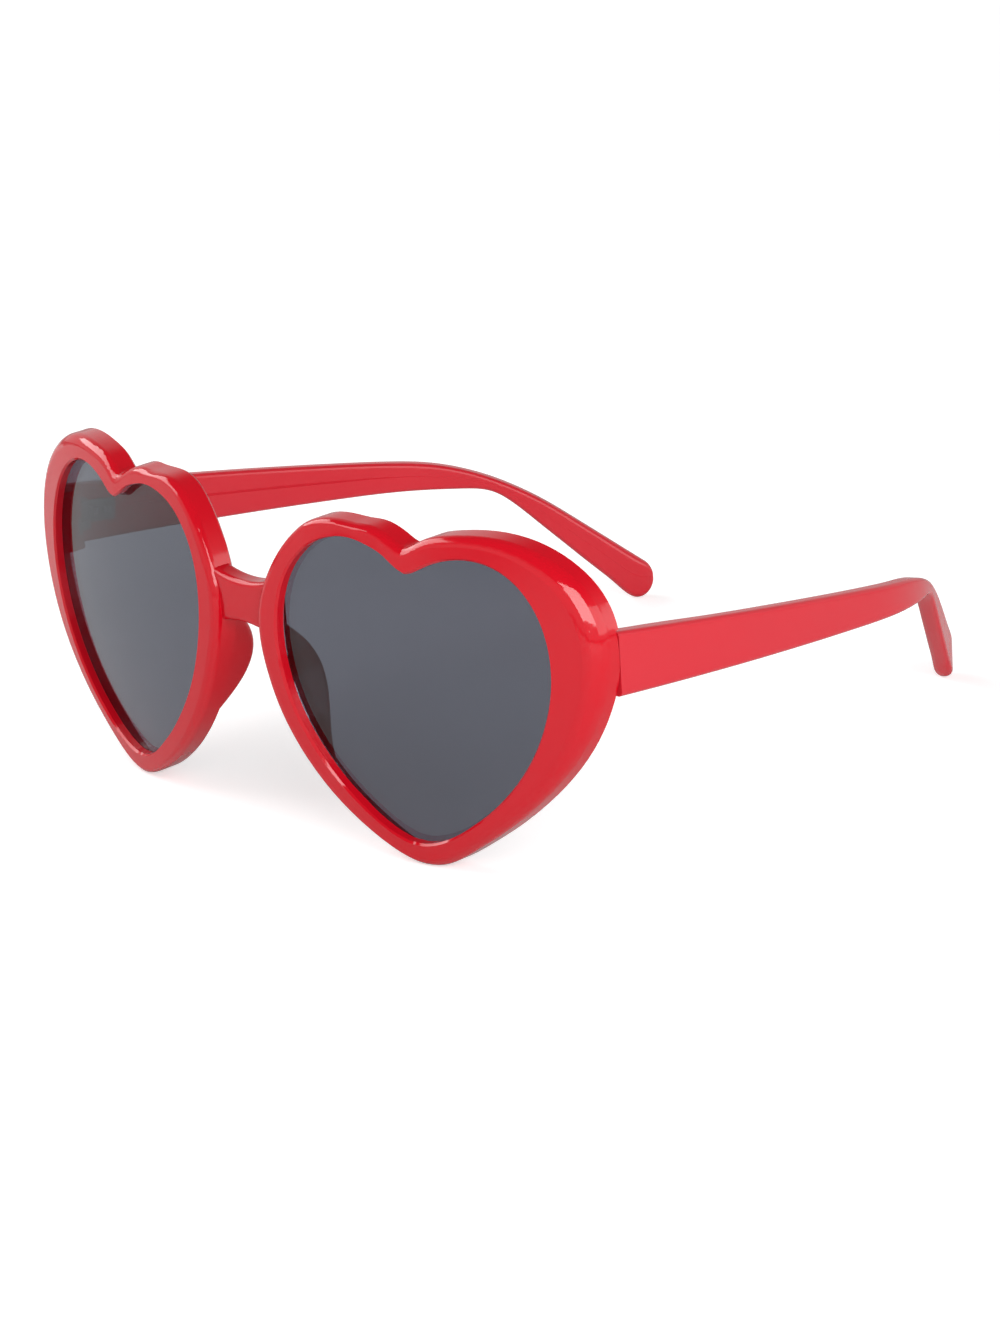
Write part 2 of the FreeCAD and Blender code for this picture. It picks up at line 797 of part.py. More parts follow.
def temple_stations():
    """Places on the outer face and turns of the plan: long bow, hook, straight end and round tip."""
    stations = []
    for number in range(TEMPLE_STEPS["bow"]):
        turn = bow_turn * number / TEMPLE_STEPS["bow"]
        stations.append((bow_centre + facing(turn) * size("temple_bow_radius"), turn))
    for number in range(TEMPLE_STEPS["hook"]):
        turn = bow_turn + (hook_turn - bow_turn) * number / TEMPLE_STEPS["hook"]
        stations.append((hook_centre + facing(turn) * size("temple_hook_radius"), turn))
    start = run_at(hook_end)
    runs = [
        start + (size("tip_length") - start) * number / TEMPLE_STEPS["end"]
        for number in range(TEMPLE_STEPS["end"])]
    for number in range(TEMPLE_STEPS["tip"]):
        swing = 0.5 * math.pi * number / TEMPLE_STEPS["tip"]
        runs.append(size("tip_length") + (view_end - size("tip_length")) * math.sin(swing))
    ahead = V(-math.sin(hook_turn), math.cos(hook_turn), 0)
    stations += [(hook_end + ahead * ((run - start) * math.cos(hook_turn)), hook_turn) for run in runs]
    return stations


def ledge_depth(run):
    """Step of the ledge inside the temple, which rises behind the hinge and fades towards the bend."""
    risen = min(1, max(0, (run - size("ledge_start")) / size("ledge_rise")))
    left = min(1, max(0, 1 - (run - size("ledge_fade_start")) / size("ledge_fade")))
    return size("ledge_least") + (size("ledge_step") - size("ledge_least")) * min(risen, left)


def temple_section(outer, turn):
    """Cross section of the temple with four round edges and the ledge on its inside."""
    inward = -facing(turn)
    middle = outer + inward * (size("temple_thickness") / 2)
    run = run_at(middle)
    sight = Part.makeLine(V(0, run, -4 * REACH_BACK), V(0, run, 4 * REACH_BACK))
    heights = [vertex.Z for vertex in temple_view.common(sight).Vertexes]
    low = min(heights)
    high = max(heights)
    bent = min(1, max(0, 1 - (size("tip_length") - run) / size("bend_to_tip")))
    full = size("temple_edge_round") + bent * (size("tip_edge_round") - size("temple_edge_round"))
    past = max(0, 1 - (view_end - run) / size("tip_taper"))
    near = ROUND_SHARE * size("temple_thickness") * (1 - math.sqrt(1 - past ** 2))
    far = size("temple_thickness") - near
    edge = min(full, ROUND_SHARE * (high - low), ROUND_SHARE * (far - near))
    step = ledge_depth(run)
    upper = far - step
    ledge = low + edge + size("ledge_share") * (high - low - 2 * edge)

    def at(inset, up):
        return outer + inward * inset + V(0, 0, up)

    edges = chain([at(near, low + edge), at(near, high - edge)])
    edges += round_edge(lambda a, u: at(near + edge - a, high - edge + u), False, edge)
    edges += chain([at(near + edge, high), at(upper - edge, high)])
    edges += round_edge(lambda a, u: at(upper - edge + a, high - edge + u), True, edge)
    edges += chain([at(upper, high - edge), at(upper, ledge), at(far, ledge - step), at(far, low + edge)])
    edges += round_edge(lambda a, u: at(far - edge + a, low + edge - u), False, edge)
    edges += chain([at(far - edge, low), at(near + edge, low)])
    edges += round_edge(lambda a, u: at(near + edge - a, low + edge - u), True, edge)
    return Part.Wire(edges)


temple_rounded = loft("temple_rounded", [temple_section(*station) for station in temple_stations()])

# The temple leaf lies along the fall of the temple, turned about the pivot

pivot = V(size("pivot_across"), size("pivot_back"), size("hinge_height"))
bend_middle = V(
    0, 0.5 * (size("bend_length") + size("bend_bottom_length")),
    0.5 * (size("bend_top_height") + size("bend_bottom_height")) - size("hinge_height"))
fall = FreeCAD.Placement(pivot, FreeCAD.Rotation(V(0, 1, 0), bend_middle))
leaf_offset = size("temple_leaf_face") - size("pivot_across")


def temple_plate(name, spare_length, lead):
    """Plate along the temple, grown by a clearance and towards the inside by a lead."""
    block = doc.addObject("Part::Box", name + "_block")
    block.Length = size("leaf_thickness") + lead
    block.Width = size("temple_leaf_length") + 2 * spare_length
    block.Height = size("temple_leaf_width") + 2 * spare_length
    corner_at = V(
        leaf_offset - lead, size("temple_leaf_start") - spare_length,
        -size("temple_leaf_width") / 2 - spare_length)
    block.Placement = fall.multiply(FreeCAD.Placement(corner_at, FreeCAD.Rotation()))
    return rounded_plate(name, block, V(1, 0, 0))


def temple_rod(name, along, radius_formula, length_formula):
    """Cylinder across the temple at a distance along the leaf."""
    made = bind(doc.addObject("Part::Cylinder", name), Radius=radius_formula, Height=length_formula)
    turned = FreeCAD.Rotation(V(0, 0, 1), V(1, 0, 0))
    made.Placement = fall.multiply(FreeCAD.Placement(V(leaf_offset, along, 0), turned))
    return made


temple_screw_places = (
    size("temple_screw_first"), size("temple_screw_first") + size("temple_screw_pitch"))
temple_seat = temple_plate("temple_seat", size("seat_clearance"), size("leaf_thickness"))
arm_slot = box(
    "arm_slot", "Derived.pivot_across", "Derived.pivot_back - 2 * Sizes.knuckle_radius",
    "Sizes.hinge_height - Sizes.knuckle_length / 2 - Sizes.seat_clearance",
    "Derived.temple_leaf_face + Sizes.leaf_thickness - Derived.pivot_across",
    "2 * Sizes.knuckle_radius + Derived.arm_reach",
    "Sizes.knuckle_length + 2 * Sizes.seat_clearance")
temple_pilots = [
    temple_rod("temple_pilot_%d" % number, along, pilot_radius, pilot_length)
    for number, along in enumerate(temple_screw_places, 1)]
temple_seat_cut = fuse("temple_seat_cut", temple_seat, arm_slot, *temple_pilots)
temple_left = boolean("Part::Cut", "temple_left", temple_rounded, temple_seat_cut)

# Hinge leaves


def knuckle(name, low, bore_formula):
    """Barrel round the pivot and the bore through it."""
    barrel = rod(
        name, "Derived.pivot_across", "Derived.pivot_back", low, V(0, 0, 1), "Sizes.knuckle_radius",
        "Sizes.knuckle_length")
    bore = rod(
        name + "_bore", "Derived.pivot_across", "Derived.pivot_back", low + " - Sizes.knuckle_gap",
        V(0, 0, 1), bore_formula, "Sizes.knuckle_length + 2 * Sizes.knuckle_gap")
    return barrel, bore


def web(name, low):
    """Block that joins a front barrel to its plate."""
    return box(
        name, "Derived.pivot_across - Sizes.knuckle_radius", "Derived.seam - Sizes.leaf_thickness / 2", low,
        "2 * Sizes.knuckle_radius", "Derived.pivot_back - Derived.seam + Sizes.leaf_thickness / 2",
        "Sizes.knuckle_length")


upper_low = "Sizes.hinge_height + Derived.knuckle_start"
lower_low = "Sizes.hinge_height - Derived.knuckle_start - Sizes.knuckle_length"
tight_bore = "Sizes.pivot_radius + Sizes.pilot_clearance"
upper_barrel, upper_bore = knuckle("upper_barrel", upper_low, tight_bore)
lower_barrel, lower_bore = knuckle("lower_barrel", lower_low, tight_bore)
leaf_hole = "Sizes.screw_radius + Sizes.screw_clearance"
front_holes = [
    rod(
        "front_hole_" + name, "Derived.pivot_across", "Derived.seam",
        "Sizes.hinge_height %s Sizes.front_screw_spread" % sign, V(0, -1, 0), leaf_hole,
        "2 * Sizes.leaf_thickness")
    for name, sign in (("top", "+"), ("bottom", "-"))]
front_leaf_plate = front_plate("front_leaf_plate", "0", "Sizes.leaf_thickness")
front_leaf_blank = fuse(
    "front_leaf_blank", front_leaf_plate, upper_barrel, lower_barrel, web("upper_web", upper_low),
    web("lower_web", lower_low))
front_leaf_cut = fuse("front_leaf_cut", upper_bore, lower_bore, *front_holes)
front_hinge_leaf = boolean("Part::Cut", "front_hinge_leaf", front_leaf_blank, front_leaf_cut)

middle_low = "Sizes.hinge_height - Sizes.knuckle_length / 2"
middle_barrel, middle_bore = knuckle("middle_barrel", middle_low, "Derived.pivot_bore")
arm = box(
    "arm", "Derived.pivot_across", "Derived.pivot_back - Sizes.knuckle_radius / 2", middle_low,
    "Derived.temple_leaf_face + Sizes.leaf_thickness - Derived.pivot_across",
    "Sizes.knuckle_radius / 2 + Derived.arm_reach", "Sizes.knuckle_length")
temple_holes = [
    temple_rod("temple_hole_%d" % number, along, leaf_hole, "2 * Sizes.leaf_thickness")
    for number, along in enumerate(temple_screw_places, 1)]
temple_leaf_plate = temple_plate("temple_leaf_plate", 0, 0)
temple_leaf_blank = fuse("temple_leaf_blank", temple_leaf_plate, middle_barrel, arm)
temple_leaf_cut = fuse("temple_leaf_cut", middle_bore, *temple_holes)
temple_hinge_leaf = boolean("Part::Cut", "temple_hinge_leaf", temple_leaf_blank, temple_leaf_cut)

# Slotted screws, turned about their own axis with the head upwards


def outline_sketch(body, name, role, corners):
    """Closed sketch of straight lines whose corners are tied to the sheets."""
    sketch = body.newObject("Sketcher::SketchObject", name)
    plane = [item for item in body.Origin.OriginFeatures if item.Role == role][0]
    sketch.AttachmentSupport = [(plane, "")]
    sketch.MapMode = "FlatFace"
    count = len(corners)
    for number in range(count):
        sketch.addGeometry(Part.LineSegment(V(number, number ** 2, 0), V(number + 1, (number + 1) ** 2, 0)))
    for number in range(count):
        sketch.addConstraint(Sketcher.Constraint("Coincident", number, 2, (number + 1) % count, 1))
    for number, (along, up) in enumerate(corners):
        for kind, formula in (("DistanceX", along), ("DistanceY", up)):
            index = sketch.addConstraint(Sketcher.Constraint(kind, number, 1, 0.1))
            sketch.setExpression("Constraints[%d]" % index, formula)
    return sketch


def slotted_screw(name, shank, head, head_height, length):
    """Cylindrical head with a bevelled rim and a slot, on a plain shank."""
    body = doc.addObject("PartDesign::Body", name)
    bevel = "Sizes.head_bevel"
    below = "-(" + length + ")"
    profile = outline_sketch(body, name + "_profile", "XZ_Plane", (
        ("0", head_height),
        (head + " - " + bevel, head_height),
        (head, head_height + " - " + bevel),
        (head, "0"),
        (shank, "0"),
        (shank, below),
        ("0", below)))
    doc.recompute()
    turned = body.newObject("PartDesign::Revolution", name + "_turned")
    turned.Profile = profile
    turned.ReferenceAxis = (profile, ["V_Axis"])
    turned.Angle = 360
    doc.recompute()
    half = "Sizes.slot_width / 2"
    past = "2 * " + head
    cut = outline_sketch(body, name + "_slot_outline", "XY_Plane", (
        ("-" + past, "-" + half),
        (past, "-" + half),
        (past, half),
        ("-" + past, half)))
    cut.setExpression("AttachmentOffset.Base.z", head_height)
    doc.recompute()
    slot = body.newObject("PartDesign::Pocket", name + "_slot")
    slot.Profile = cut
    slot.setExpression("Length", "Sizes.slot_depth")
    doc.recompute()
    return body


hinge_screw = slotted_screw(
    "hinge_screw", "Sizes.pivot_radius", "Sizes.pivot_head_radius", "Sizes.pivot_head_height",
    "3 * Sizes.knuckle_length + 2 * Sizes.knuckle_gap + Sizes.pivot_overhang")
leaf_screw = slotted_screw(
    "leaf_screw", "Sizes.screw_radius", "Sizes.screw_head_radius", "Sizes.screw_head_height",
    "Sizes.leaf_thickness + Sizes.screw_length")


def screw_group(name, places):
    """Copies of the leaf screw as separate solids."""
    made = doc.addObject("Part::Feature", name)
    made.Shape = Part.Compound([leaf_screw.Shape.transformed(spot.toMatrix()) for spot in places])
    return made


facing_back = FreeCAD.Rotation(V(0, 0, 1), V(0, 1, 0))
facing_in = FreeCAD.Rotation(V(0, 0, 1), V(-1, 0, 0))
front_screw_heights = (
    size("hinge_height") + size("front_screw_spread"), size("hinge_height") - size("front_screw_spread"))
front_leaf_screws = screw_group("front_leaf_screws", [
    FreeCAD.Placement(V(pivot.x, size("seam"), up), facing_back) for up in front_screw_heights])
temple_leaf_screws = screw_group("temple_leaf_screws", [
    fall.multiply(FreeCAD.Placement(V(leaf_offset, along, 0), facing_in)) for along in temple_screw_places])
hinge_screw.Placement = FreeCAD.Placement(V(pivot.x, pivot.y, size("hinge_top")), FreeCAD.Rotation())
doc.recompute()

# Stand the glasses on the floor: the tilt at which the rims and the tips are equally low


def low_points(shape):
    """Fine points on the faces near the bottom of a shape."""
    reach = shape.BoundBox.ZMin + size("tip_radius")
    faces = [face for face in shape.Faces if face.BoundBox.ZMin < reach]
    return [point for face in faces for point in face.tessellate(FINE)[0]]


def lowest(points, tilt):
    """Lowest height of points after a tilt about the X axis."""
    turn = math.radians(tilt)
    return min(p.y * math.sin(turn) + p.z * math.cos(turn) for p in points)


front_points = low_points(half_front.Shape)
temple_points = low_points(temple_left.Shape)
low_tilt = -STEEPEST
high_tilt = STEEPEST
while high_tilt - low_tilt > TILT_STEP:
    tilt = 0.5 * (low_tilt + high_tilt)
    if lowest(temple_points, tilt) < lowest(front_points, tilt):
        low_tilt = tilt
    else:
        high_tilt = tilt
lift = -min(lowest(front_points, tilt), lowest(temple_points, tilt))
stand = FreeCAD.Placement(V(0, 0, lift), FreeCAD.Rotation(V(1, 0, 0), tilt))
stood = Part.Compound([front_frame.Shape, temple_left.Shape])
stood.Placement = stand
outer_box = stood.optimalBoundingBox(False, False)
stand.Base.y = -0.5 * (outer_box.YMin + outer_box.YMax)

single = {"front_frame": front_frame}
sided = {
    "lens": lens_left,
    "temple": temple_left,
    "front_hinge_leaf": front_hinge_leaf,
    "temple_hinge_leaf": temple_hinge_leaf,
    "hinge_screw": hinge_screw,
    "front_leaf_screws": front_leaf_screws,
    "temple_leaf_screws": temple_leaf_screws,
}
for item in list(single.values()) + list(sided.values()):
    item.Placement = stand.multiply(item.Placement)
doc.recompute()

nodes = dict(single)
for name, item in sided.items():
    nodes[name + "_left"] = item
    nodes[name + "_right"] = mirror(name + "_mirrored", item)

for item in doc.Objects:
    if "Invalid" in item.State or "Error" in item.State:
        raise RuntimeError("feature failed: " + item.Name)
os.makedirs("parts", exist_ok=True)
for name, item in nodes.items():
    item.Label = name
    if item.Shape.isNull() or not item.Shape.isValid():
        raise RuntimeError("bad shape: " + name)
    item.Shape.exportStep("parts/%s.step" % name)
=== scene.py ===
import logging
import math
from dataclasses import dataclass, replace
from enum import Enum
from typing import ClassVar, Iterable

import bpy
from mathutils import Matrix, Vector

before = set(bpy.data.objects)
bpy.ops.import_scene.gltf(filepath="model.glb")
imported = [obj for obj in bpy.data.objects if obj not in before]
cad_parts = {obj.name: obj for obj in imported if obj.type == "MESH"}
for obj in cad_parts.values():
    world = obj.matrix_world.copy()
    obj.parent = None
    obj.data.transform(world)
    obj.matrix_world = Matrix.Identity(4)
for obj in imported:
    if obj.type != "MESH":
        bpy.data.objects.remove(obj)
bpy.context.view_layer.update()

LOG = logging.getLogger("heart_sunglasses")
AS_STRETCHED = 1.0  # scale of a pattern whose coordinates are stretched already

Colour = tuple[float, float, float]
Point = tuple[float, float, float]


class Side(Enum):
    """Side of the wearer that a piece belongs to."""

    LEFT = "left"
    RIGHT = "right"


class Socket(Enum):
    """Kinds of socket on a shared shader group."""

    VALUE = "NodeSocketFloat"
    COLOUR = "NodeSocketColor"
    VECTOR = "NodeSocketVector"


class NodeTree:
    """Short hand for drawing a shader node tree."""

    def __init__(self, tree: bpy.types.NodeTree) -> None:
        """Take over a tree and clear it.

        Args:
            tree: Tree of a material, a world or a group.
        """
        self.tree = tree
        self.tree.nodes.clear()

    def add(self, kind: str, **settings: object) -> bpy.types.Node:
        """Place a node.

        Args:
            kind: Type name of the node.
            settings: Properties of the node.

        Returns:
            The new node.
        """
        node = self.tree.nodes.new(kind)
        for name, setting in settings.items():
            setattr(node, name, setting)
        return node

    def join(self, source: bpy.types.NodeSocket, target: bpy.types.NodeSocket) -> None:
        """Link an output to an input.

        Args:
            source: Output socket.
            target: Input socket.
        """
        self.tree.links.new(source, target)

    def feed(self, target: bpy.types.NodeSocket, entry: object) -> None:
        """Link an output to an input, or set the input to a plain number.

        Args:
            target: Input socket.
            entry: Output socket, number or tuple.
        """
        if isinstance(entry, bpy.types.NodeSocket):
            self.join(entry, target)
        else:
            target.default_value = entry

    def math(self, operation: str, *entries: object) -> bpy.types.NodeSocket:
        """Work out a number from others.

        Args:
            operation: Name of the sum.
            entries: Up to three numbers or sockets.

        Returns:
            The socket that holds the result.
        """
        node = self.add("ShaderNodeMath", operation=operation)
        for target, entry in zip(node.inputs, entries):
            self.feed(target, entry)
        return node.outputs[0]

    def scaled(self, colour: bpy.types.NodeSocket, factor: bpy.types.NodeSocket) -> bpy.types.NodeSocket:
        """Colour made brighter or darker.

        Args:
            colour: Socket with the colour.
            factor: Socket with the factor.

        Returns:
            The socket that holds the new colour.
        """
        node = self.add("ShaderNodeVectorMath", operation="SCALE")
        self.join(colour, node.inputs[0])
        self.join(factor, node.inputs["Scale"])
        return node.outputs[0]

    def noise(
            self, where: object, scale: float, detail: float, roughness: float = 0.5) -> bpy.types.NodeSocket:
        """Cloudy pattern between 0 and 1.

        Args:
            where: Socket with the coordinates.
            scale: Features per metre.
            detail: Octaves of finer detail.
            roughness: Weight of the finer octaves.

        Returns:
            The socket that holds the pattern.
        """
        node = self.add("ShaderNodeTexNoise")
        self.feed(node.inputs["Vector"], where)
        node.inputs["Scale"].default_value = scale
        node.inputs["Detail"].default_value = detail
        node.inputs["Roughness"].default_value = roughness
        return node.outputs["Fac"]

    def stretch(self, where: object, scale: Point, turn: Point = (0.0, 0.0, 0.0)) -> bpy.types.NodeSocket:
        """Coordinates scaled and turned, for patterns that run one way.

        Args:
            where: Socket with the coordinates.
            scale: Factors along the three axes.
            turn: Turn about the three axes, in radians.

        Returns:
            The socket that holds the new coordinates.
        """
        node = self.add("ShaderNodeMapping")
        self.feed(node.inputs["Vector"], where)
        node.inputs["Scale"].default_value = scale
        node.inputs["Rotation"].default_value = turn
        return node.outputs["Vector"]

    def window(self, entry: object, low: float, high: float) -> bpy.types.NodeSocket:
        """Smooth step of a number from 0 at low to 1 at high.

        Args:
            entry: Number or socket.
            low: Value that gives 0.
            high: Value that gives 1.

        Returns:
            The socket that holds the step.
        """
        node = self.add("ShaderNodeMapRange", interpolation_type="SMOOTHSTEP", clamp=True)
        self.feed(node.inputs["Value"], entry)
        node.inputs["From Min"].default_value = low
        node.inputs["From Max"].default_value = high
        return node.outputs["Result"]


@dataclass(frozen=True)
class GroupPort:
    """One socket of a shared shader group."""

    name: str
    kind: Socket
    outward: bool = False


@dataclass(frozen=True)
class SharedEffect:
    """A shader group that several materials place with their own values."""

    name: str
    ports: tuple[GroupPort, ...]

    def start(self) -> tuple[NodeTree, bpy.types.Node, bpy.types.Node]:
        """Make the empty group with its sockets.

        Returns:
            The tree, its input node and its output node.
        """
        group = bpy.data.node_groups.new(self.name, "ShaderNodeTree")
        for port in self.ports:
            group.interface.new_socket(
                port.name, in_out="OUTPUT" if port.outward else "INPUT", socket_type=port.kind.value)
        draft = NodeTree(group)
        return draft, draft.add("NodeGroupInput"), draft.add("NodeGroupOutput")

    def draw(self) -> bpy.types.NodeTree:
        """Draw the nodes of the group.

        Returns:
            The finished group.
        """
        raise NotImplementedError(self.name)

    def placed(self, draft: NodeTree, **entries: object) -> bpy.types.Node:
        """Place the group in a material, drawing it the first time it is asked for.

        Args:
            draft: Tree of the material.
            entries: Values of the group's inputs, with _ for a space.

        Returns:
            The group node.
        """
        group = bpy.data.node_groups.get(self.name) or self.draw()
        node = draft.add("ShaderNodeGroup", node_tree=group)
        for name, entry in entries.items():
            draft.feed(node.inputs[name.replace("_", " ")], entry)
        return node


@dataclass(frozen=True)
class HandledGloss(SharedEffect):
    """Moulded gloss that has been handled: slow tint, smears and hairlines.

    Tint is the colour times 1 + shift * (2 * cloud - 1). Roughness is the base plus smear where
    a second cloud rises above its middle. Height is the ripple of the mould less thin hairlines.
    """

    name: str = "handled_gloss"
    ports: tuple[GroupPort, ...] = (
        GroupPort("Vector", Socket.VECTOR),
        GroupPort("Colour", Socket.COLOUR),
        GroupPort("Tint Shift", Socket.VALUE),
        GroupPort("Base Roughness", Socket.VALUE),
        GroupPort("Smear", Socket.VALUE),
        GroupPort("Hairlines", Socket.VALUE),
        GroupPort("Colour", Socket.COLOUR, True),
        GroupPort("Roughness", Socket.VALUE, True),
        GroupPort("Height", Socket.VALUE, True),
    )
    cloud_scale: float = 42.0
    cloud_detail: float = 2.0
    smear_scale: float = 95.0
    smear_detail: float = 5.0
    smear_weight: float = 0.6
    smear_window: tuple[float, float] = (0.48, 0.74)
    ripple_scale: float = 260.0
    ripple_detail: float = 1.0
    hairline_stretch: Point = (2600.0, 120.0, 1900.0)
    hairline_turn: Point = (0.5, 0.2, 0.9)
    hairline_detail: float = 1.0
    hairline_window: tuple[float, float] = (0.7, 0.82)

    def draw(self) -> bpy.types.NodeTree:
        """Draw the nodes of the group.

        Returns:
            The finished group.
        """
        draft, inward, outward = self.start()
        where = inward.outputs["Vector"]
        cloud = draft.noise(where, self.cloud_scale, self.cloud_detail)
        swing = draft.math("MULTIPLY_ADD", cloud, 2.0, -1.0)
        factor = draft.math("MULTIPLY_ADD", swing, inward.outputs["Tint Shift"], 1.0)
        draft.join(draft.scaled(inward.outputs["Colour"], factor), outward.inputs["Colour"])
        smear = draft.noise(where, self.smear_scale, self.smear_detail, self.smear_weight)
        smear = draft.window(smear, *self.smear_window)
        rough = draft.math("MULTIPLY_ADD", smear, inward.outputs["Smear"], inward.outputs["Base Roughness"])
        draft.join(rough, outward.inputs["Roughness"])
        along = draft.stretch(where, self.hairline_stretch, self.hairline_turn)
        lines = draft.noise(along, AS_STRETCHED, self.hairline_detail)
        lines = draft.window(lines, *self.hairline_window)
        lines = draft.math("MULTIPLY", lines, inward.outputs["Hairlines"])
        ripple = draft.noise(where, self.ripple_scale, self.ripple_detail)
        draft.join(draft.math("SUBTRACT", ripple, lines), outward.inputs["Height"])
        return draft.tree


@dataclass(frozen=True)
class BrushedGrain(SharedEffect):
    """Grain of rolled and plated sheet: streaks along one axis with bright and dull spots.

    Streak is a cloud stretched along the grain. Colour is scaled by 1 + shade * (streak - 0.5), roughness
    rises with the streak and in spots, and the height is the streak itself.
    """

    name: str = "brushed_grain"
    ports: tuple[GroupPort, ...] = (
        GroupPort("Vector", Socket.VECTOR),
        GroupPort("Colour", Socket.COLOUR),
        GroupPort("Base Roughness", Socket.VALUE),
        GroupPort("Colour", Socket.COLOUR, True),
        GroupPort("Roughness", Socket.VALUE, True),
        GroupPort("Height", Socket.VALUE, True),
    )
    streak_stretch: Point = (5200.0, 5200.0, 320.0)
    streak_detail: float = 3.0
    streak_weight: float = 0.6
    streak_shade: float = 0.25
    streak_dulling: float = 0.18
    spot_scale: float = 900.0
    spot_detail: float = 3.0
    spot_window: tuple[float, float] = (0.5, 0.75)
    spot_dulling: float = 0.12

    def draw(self) -> bpy.types.NodeTree:
        """Draw the nodes of the group.

        Returns:
            The finished group.
        """
        draft, inward, outward = self.start()
        where = inward.outputs["Vector"]
        along = draft.stretch(where, self.streak_stretch)
        streak = draft.noise(along, AS_STRETCHED, self.streak_detail, self.streak_weight)
        factor = draft.math("MULTIPLY_ADD", draft.math("SUBTRACT", streak, 0.5), self.streak_shade, 1.0)
        draft.join(draft.scaled(inward.outputs["Colour"], factor), outward.inputs["Colour"])
        spots = draft.window(draft.noise(where, self.spot_scale, self.spot_detail), *self.spot_window)
        rough = draft.math("MULTIPLY_ADD", streak, self.streak_dulling, inward.outputs["Base Roughness"])
        rough = draft.math("MULTIPLY_ADD", spots, self.spot_dulling, rough)
        draft.join(rough, outward.inputs["Roughness"])
        draft.join(streak, outward.inputs["Height"])
        return draft.tree


HANDLED_GLOSS = HandledGloss()
BRUSHED_GRAIN = BrushedGrain()


@dataclass(frozen=True, kw_only=True)
class Finish:
    """A material made once and given to any number of pieces."""

    name: str
    colour: Colour
    roughness: float
    bump_strength: float
    bump_depth: float
    made: ClassVar[dict[str, bpy.types.Material]] = {}

    def effect(self, draft: NodeTree, where: bpy.types.NodeSocket) -> bpy.types.Node:
        """Place the shared effect that varies the surface.

        Args:
            draft: Tree of the material.
            where: Socket with the object's coordinates.

        Returns:
            The group node, with colour, roughness and height.
        """
        raise NotImplementedError(self.name)

    def levels(self) -> dict[str, float]:
        """List the plain numbers of the surface shader.

        Returns:
            Numbers by the name of their socket.
        """
        raise NotImplementedError(self.name)

    def material(self) -> bpy.types.Material:
        """Draw the material the first time it is asked for.

        Returns:
            The material.
        """
        if self.name in Finish.made:
            return Finish.made[self.name]
        fresh = bpy.data.materials.new(self.name)
        fresh.use_nodes = True
        draft = NodeTree(fresh.node_tree)
        effect = self.effect(draft, draft.add("ShaderNodeTexCoord").outputs["Object"])
        bump = draft.add("ShaderNodeBump")
        bump.inputs["Strength"].default_value = self.bump_strength
        bump.inputs["Distance"].default_value = self.bump_depth
        draft.join(effect.outputs["Height"], bump.inputs["Height"])
        surface = draft.add("ShaderNodeBsdfPrincipled")
        for name, level in self.levels().items():
            surface.inputs[name].default_value = level
        draft.join(effect.outputs["Colour"], surface.inputs["Base Color"])
        draft.join(effect.outputs["Roughness"], surface.inputs["Roughness"])
        draft.join(bump.outputs["Normal"], surface.inputs["Normal"])
        out = draft.add("ShaderNodeOutputMaterial")
        draft.join(surface.outputs["BSDF"], out.inputs["Surface"])
        Finish.made[self.name] = fresh
        return fresh

    def give(self, piece: bpy.types.Object) -> None:
        """Put the material in every slot of a piece.

        Args:
            piece: Mesh object.
        """
        fresh = self.material()
        if not piece.material_slots:
            piece.data.materials.append(fresh)
        for slot in piece.material_slots:
            slot.material = fresh


@dataclass(frozen=True, kw_only=True)
class MouldedPlastic(Finish):
    """Glossy moulded plastic, solid in colour or clear enough for light to pass through."""

    tint_shift: float
    smear: float
    hairlines: float
    refraction: float
    transmission: float = 0.0

    def effect(self, draft: NodeTree, where: bpy.types.NodeSocket) -> bpy.types.Node:
        """Place the handled gloss.

        Args:
            draft: Tree of the material.
            where: Socket with the object's coordinates.

        Returns:
            The group node.
        """
        return HANDLED_GLOSS.placed(
            draft, Vector=where, Colour=(*self.colour, 1.0), Tint_Shift=self.tint_shift,
            Base_Roughness=self.roughness, Smear=self.smear, Hairlines=self.hairlines)

    def levels(self) -> dict[str, float]:
        """List the plain numbers of the surface shader.

        Returns:
            Numbers by the name of their socket.
        """
        return {"IOR": self.refraction, "Transmission Weight": self.transmission}


@dataclass(frozen=True, kw_only=True)
class PlatedSteel(Finish):
    """Plated steel with a rolled grain."""

    def effect(self, draft: NodeTree, where: bpy.types.NodeSocket) -> bpy.types.Node:
        """Place the brushed grain.

        Args:
            draft: Tree of the material.
            where: Socket with the object's coordinates.

        Returns:
            The group node.
        """
        return BRUSHED_GRAIN.placed(
            draft, Vector=where, Colour=(*self.colour, 1.0), Base_Roughness=self.roughness)

    def levels(self) -> dict[str, float]:
        """List the plain numbers of the surface shader.

        Returns:
            Numbers by the name of their socket.
        """
        return {"Metallic": 1.0}


RED_FRONT = MouldedPlastic(
    name="red_moulding", colour=(0.63, 0.003, 0.013), roughness=0.08, bump_strength=0.12, bump_depth=0.00006,
    tint_shift=0.035, smear=0.05, hairlines=0.35, refraction=1.52)
# Temple red: the front's own red made lighter and pinker, a painted sheen that stands in for the pale
# reflection and extra light on the temples
RED_TEMPLE_WITH_PAINTED_SHEEN = replace(
    RED_FRONT, name="red_temple_moulding_painted_sheen", colour=(0.67, 0.017, 0.031), roughness=0.2)
SMOKE_LENS = MouldedPlastic(
    name="smoke_grey_glass", colour=(0.086, 0.092, 0.116), roughness=0.015, bump_strength=0.03,
    bump_depth=0.00002, tint_shift=0.02, smear=0.03, hairlines=0.15, refraction=1.5, transmission=1.0)
LEAF_STEEL = PlatedSteel(
    name="plated_steel", colour=(0.36, 0.35, 0.34), roughness=0.3, bump_strength=0.15, bump_depth=0.00003)
SCREW_STEEL = replace(
    LEAF_STEEL, name="bright_screw_steel", colour=(0.66, 0.65, 0.63), roughness=0.14)


